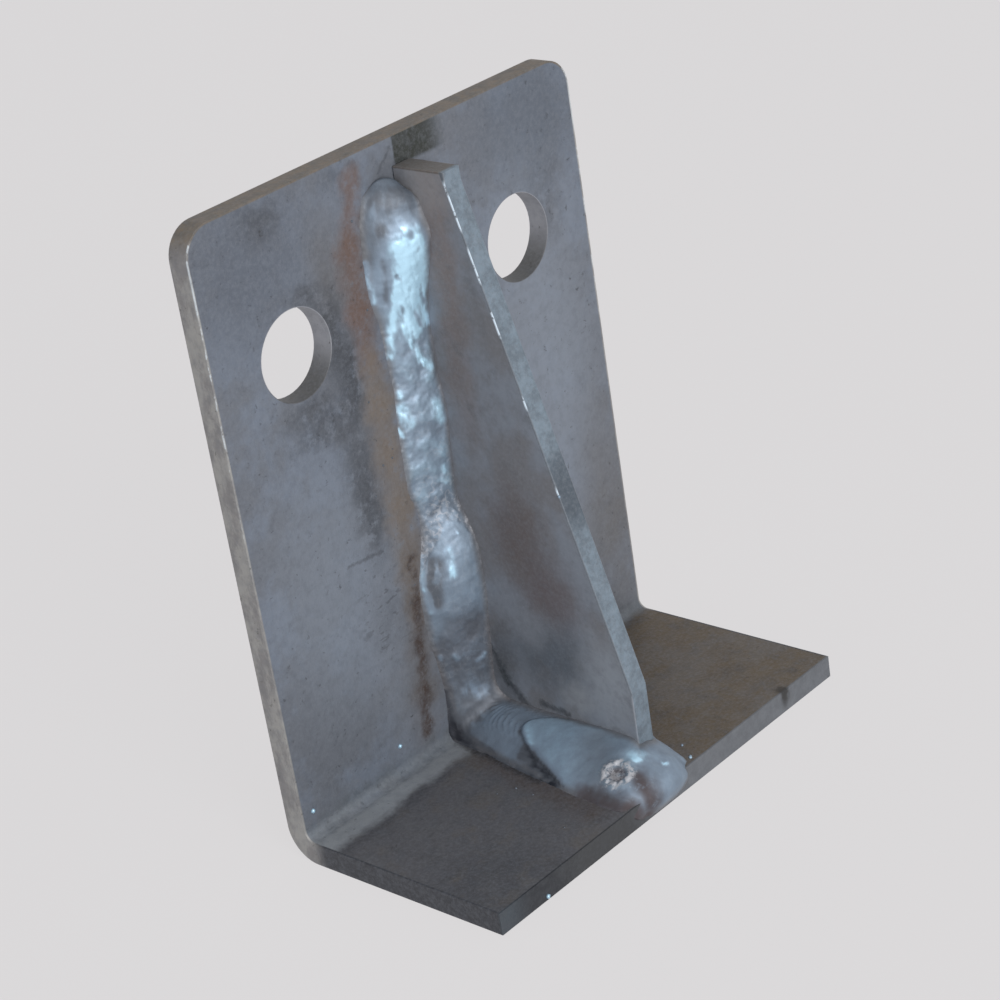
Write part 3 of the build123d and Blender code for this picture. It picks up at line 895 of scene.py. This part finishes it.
def add_folds(fields, grid, run, share):
    """Lays the folds, with their painted highlights and shade, over the passes, and returns where they
    are.
    """
    strand = fractal(np.stack([run * 0.28, share * 10.0, np.full_like(run, 7.0)], axis=-1), 0.9)
    wobbled = grid + 0.45 * strand[:, :, None] * np.array([1.0, 0.3, 0.6])
    marked = np.zeros_like(run)
    for start, end, reach, lift, tone_and_light_shift in FOLDS:
        near = near_line(wobbled, start, end, reach) * np.clip(0.90 + 0.9 * strand, 0.3, 1.3)
        fields["height"] += lift * near
        fields["sheen"] += tone_and_light_shift * near
        marked = np.maximum(marked, np.clip(1.6 * near, 0, 1))
    return marked


def add_crater(fields, grid, bits):
    """Sinks the crater into the left of the toe's metal, with a crusted ring round it."""
    away = np.linalg.norm((grid[:, :, :2] - CRATER) * np.array([1.0, 0.9]), axis=2)
    on_left = (grid[:, :, 2] < SHELF_TOP + 7) & (grid[:, :, 0] < LEFT_FACE + 0.5)
    ring = np.exp(-(((away - CRATER_RADIUS + 0.6 * bits) / 0.85) ** 2)) * on_left
    pit = smoothstep(CRATER_RADIUS - away, -0.3, 1.4) * on_left
    fields["height"] += (0.30 + 0.35 * bits) * ring - 0.50 * pit
    fields["sheen"] += 0.10 * ring
    fields["crust"] = np.maximum(fields["crust"], np.maximum(ring, 0.55 * pit))
    fields["stain"] = np.maximum(fields["stain"], np.maximum(0.90 * pit, 0.45 * ring))


def closed_strip(grid, normal):
    """Vertices in metres and faces of the strip, closed by a back that lies inside the plates."""
    foot_in = 2 * grid[:, 0] - grid[:, 1] - normal[:, 0] * SINK
    foot_in[:, 2] = np.maximum(foot_in[:, 2], SHELF_UNDERSIDE + SINK)
    seat_in = 2 * grid[:, -1] - grid[:, -2] - normal[:, -1] * SINK
    core = root_line(grid[:, 0], grid[:, -1])
    rings = np.concatenate([foot_in[:, None], grid, seat_in[:, None], core[:, None]], axis=1)
    rows, wide = rings.shape[:2]
    faces = []
    for row in range(rows - 1):
        here, ahead = row * wide, (row + 1) * wide
        for column in range(wide):
            beside = (column + 1) % wide
            faces.append((here + column, ahead + column, ahead + beside, here + beside))
    last = (rows - 1) * wide
    faces.append(tuple(range(wide)))
    faces.append(tuple(range(last + wide - 1, last - 1, -1)))
    return rings.reshape(-1, 3) * MM, faces


def bead_mesh():
    """The weld strip as one closed mesh, with its relief, and the masks that its material reads."""
    fine = np.arange(RUN_KNOTS[0], toe_end, FINE_STEP)
    coarse = np.arange(toe_end, RUN_END, COARSE_STEP)
    runs = np.append(np.concatenate([fine, coarse]), RUN_END)
    shares = np.linspace(0, 1, STEPS_ACROSS + 1)
    grid, normal = bare_strip(runs, shares)
    run, share = np.meshgrid(runs, shares, indexing="ij")
    lump = fractal(grid * 0.30 + 40, 0.9)
    bits = fractal(grid * 1.1 + 90, 0.8)

    fields = lay_passes(grid, run, share, lump, bits)
    marked = add_folds(fields, grid, run, share)
    add_crater(fields, grid, bits)
    pushed = grid + lump[:, :, None]
    for start, end, reach, strength in STAINS:
        stained = strength * near_line(pushed, start, end, reach)
        fields["stain"] = np.maximum(fields["stain"], stained)
    margin = 0.16 + 0.08 * lump
    rim = 1 - smoothstep(share, 0.0, margin) * smoothstep(1 - share, 0.0, margin)
    fields["rim"] = np.maximum(rim * (1 - marked), 0.45 * near_line(grid, *HAZE))

    edge = smoothstep(share, 0.0, 0.10) * smoothstep(1 - share, 0.0, 0.10)
    ends = smoothstep(run - runs[0], 0.0, 2.5) * smoothstep(RUN_END - run, 0.0, 2.5)
    height = fields.pop("height")
    relief = (height * edge + (1 - edge) * 0.10 * bits) * ends
    verts, faces = closed_strip(grid + normal * relief[:, :, None], normal)
    masks = {}
    for name, field in fields.items():
        padded = np.concatenate([field[:, :1], field, field[:, -1:], field[:, -1:]], axis=1)
        masks[name] = np.clip(padded, -1 if name == "sheen" else 0, 1).reshape(-1)
    return verts, faces, masks


def root_line(feet, seats):
    """A line inside the plates under each section, so that the bead closes where it can't be seen."""
    inside = seats.copy()
    inside[:, 0] += np.clip(GUSSET_MIDDLE - inside[:, 0], -ROOT_DEPTH, ROOT_DEPTH)
    on_upright_face = seats[:, 2] > CORNER_CENTRE[2]
    in_corner = ~on_upright_face & (seats[:, 1] > CORNER_CENTRE[1])
    on_shelf_face = ~on_upright_face & ~in_corner
    inside[on_upright_face, 1] = UPRIGHT_FACE + ROOT_DEPTH
    inside[in_corner, 1] = feet[in_corner, 1]
    inside[in_corner, 2] = feet[in_corner, 2]
    toward = inside[in_corner] - (CORNER_CENTRE + np.array([GUSSET_MIDDLE, 0, 0]))
    toward[:, 0] = 0
    inside[in_corner] += ROOT_DEPTH * toward / np.linalg.norm(toward, axis=1, keepdims=True)
    inside[on_shelf_face, 2] = SHELF_TOP - ROOT_DEPTH
    inside[on_shelf_face, 1] = np.maximum(inside[on_shelf_face, 1], GUSSET_TOE + ROOT_DEPTH)
    return inside


def new_piece(name, verts, faces, material, smooth=True):
    mesh = bpy.data.meshes.new(name)
    mesh.from_pydata([tuple(v) for v in verts], [], faces)
    mesh.update()
    mesh.materials.append(material)
    mesh.polygons.foreach_set("use_smooth", [smooth] * len(mesh.polygons))
    piece = bpy.data.objects.new(name, mesh)
    bpy.context.scene.collection.objects.link(piece)
    return piece


def set_mask(piece, name, values):
    """A number at each vertex, which the material reads by its name."""
    layer = piece.data.attributes.new(name, "FLOAT", "POINT")
    layer.data.foreach_set("value", np.asarray(values, np.float32))


weld_metal = weld_material()
verts, faces, masks = bead_mesh()
bead = new_piece("weld_bead", verts, faces, weld_metal)
for name, values in masks.items():
    set_mask(bead, name, values)
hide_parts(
    "upright_weld_left", "shelf_weld_left", "toe_weld", "upright_weld_right", "shelf_weld_right"
)
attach(bead, "root")


# Spatter near the weld, as place, radius and tone with painted highlight, and how many more beads lie at
# random
SPATTER = [
    ((-47.1, UPRIGHT_FACE, -84.5), 0.45, 0.85), ((-23.1, UPRIGHT_FACE, -83.7), 0.45, 0.8),
    ((-37.6, SHELF_FRONT, -93.3), 0.45, 0.75), ((6.8, -50.5, SHELF_TOP), 0.4, 0.6),
    ((LEFT_FACE, -33.2, -35.6), 0.3, 0.5), ((9.5, -46.5, SHELF_TOP), 0.3, 0.4),
]
RANDOM_SPATTER = 12
BALL_RINGS = 6
BALL_STEPS = 10


def scattered_spatter():
    """Smaller dull beads, two on the upright for each one on the shelf."""
    spread = random.Random(11)
    beads = []
    for count in range(RANDOM_SPATTER):
        away = 11.5 + 14.0 * spread.random() ** 2
        if count % 3:
            place = (-away, UPRIGHT_FACE, spread.uniform(-78.0, 20.0))
        else:
            place = (-away - 3.0, spread.uniform(-48.0, -12.0), SHELF_TOP)
        beads.append((place, spread.uniform(0.14, 0.26), 0.10))
    return beads


def ball_direction(ring, step):
    """Unit vector to a point on a ball, by ring from its top and step round it."""
    polar = math.pi * ring / BALL_RINGS
    turn = 2 * math.pi * step / BALL_STEPS
    return Vector((math.sin(polar) * math.cos(turn), math.sin(polar) * math.sin(turn), math.cos(polar)))


def spatter_mesh():
    """Small uneven beads, half sunk into the face that they stuck to, as one mesh."""
    verts, faces, sheens = [], [], []
    for place, radius, sheen in SPATTER + scattered_spatter():
        first = len(verts)
        for ring in range(BALL_RINGS + 1):
            for step in range(BALL_STEPS if 0 < ring < BALL_RINGS else 1):
                out = ball_direction(ring, step)
                uneven = radius * (1 + 0.30 * noise.noise(out * 1.3 + Vector(place)))
                verts.append((np.array(place) + np.array(out) * uneven) * MM)
        last = len(verts) - 1
        sheens += [sheen] * (last + 1 - first)
        for step in range(BALL_STEPS):
            ahead = (step + 1) % BALL_STEPS
            faces.append((first, first + 1 + step, first + 1 + ahead))
            for ring in range(BALL_RINGS - 2):
                here = first + 1 + ring * BALL_STEPS
                below = here + BALL_STEPS
                faces.append((here + step, below + step, below + ahead, here + ahead))
            lowest = last - BALL_STEPS
            faces.append((lowest + step, last, lowest + ahead))
    return verts, faces, sheens


verts, faces, sheens = spatter_mesh()
spatter = new_piece("weld_spatter", verts, faces, weld_metal)
set_mask(spatter, "sheen", sheens)
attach(spatter, "root")


def dress(node, material, edge_radius):
    """Gives a CAD node its material and softened edges."""
    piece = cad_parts[node]
    piece.data.materials.clear()
    piece.data.materials.append(material)
    weld = piece.modifiers.new("joined_corners", "WELD")
    weld.merge_threshold = 0.002 * MM
    bevel = piece.modifiers.new("soft_edges", "BEVEL")
    bevel.width = edge_radius * MM
    bevel.segments = 3
    bevel.limit_method = "ANGLE"
    bevel.angle_limit = math.radians(40)
    bevel.harden_normals = True


dress("bent_plate", plate_material(), 0.45)
dress("gusset", gusset_material(), 0.35)


# Floor, world and lamps
BACKDROP = srgb(219, 217, 218)
FLOOR_GLOW = 0.93
FLOOR_REACH = 4.0
SKY_COLOUR = (0.94, 0.97, 1, 1)
SKY_STRENGTH = 0.62


def floor_material():
    """Pale paper, which the camera sees mostly as the backdrop's own colour."""
    s = Surface("floor_paper")
    paper = s.noise(40.0, 2.0, 0.5)
    lit = s.shader(s.mix(paper, srgb(228, 226, 227), srgb(230, 228, 229)), 0.9, 0.0, paper, 0.01)
    glow = s.node("Emission", {"Color": BACKDROP, "Strength": 1.0})
    seen = s.node("MixShader", {0: FLOOR_GLOW, 1: lit, 2: glow})
    return s.finish(s.node("MixShader", {0: s.backdrop_rays(), 1: lit, 2: seen}))


floor_corners = [
    (across * FLOOR_REACH, deep * FLOOR_REACH, SHELF_UNDERSIDE * MM)
    for across, deep in ((-1, -1), (1, -1), (1, 1), (-1, 1))
]
floor = new_piece("floor", floor_corners, [(0, 1, 2, 3)], floor_material(), smooth=False)

world = bpy.data.worlds.new("studio")
bpy.context.scene.world = world
sky = Nodes(world)
soft = sky.node("Background", {"Color": SKY_COLOUR, "Strength": SKY_STRENGTH})
backdrop = sky.node("Background", {"Color": BACKDROP, "Strength": 1.0})
shown = sky.node("MixShader", {0: sky.backdrop_rays(), 1: soft, 2: backdrop})
sky.node("OutputWorld", {"Surface": shown}, None)

LAMP_TARGET = Vector((0.0, -0.02, -0.03))


def lamp(name, toward, distance, size, power, colour):
    """A soft square lamp that lies toward a direction from the part and points at it."""
    data = bpy.data.lights.new(name, "AREA")
    data.shape = "SQUARE"
    data.size = size
    data.energy = power
    data.color = colour
    made = bpy.data.objects.new(name, data)
    direction = Vector(toward).normalized()
    made.location = LAMP_TARGET + direction * distance
    made.rotation_euler = direction.to_track_quat("Z", "Y").to_euler()
    bpy.context.scene.collection.objects.link(made)


lamp("key_lamp", (-0.30, -0.85, 0.45), 0.95, 0.45, 4.6, (1.0, 0.99, 0.97))
lamp("low_lamp", (-0.35, -0.92, 0.16), 0.70, 0.25, 0.9, (0.90, 0.96, 1.0))
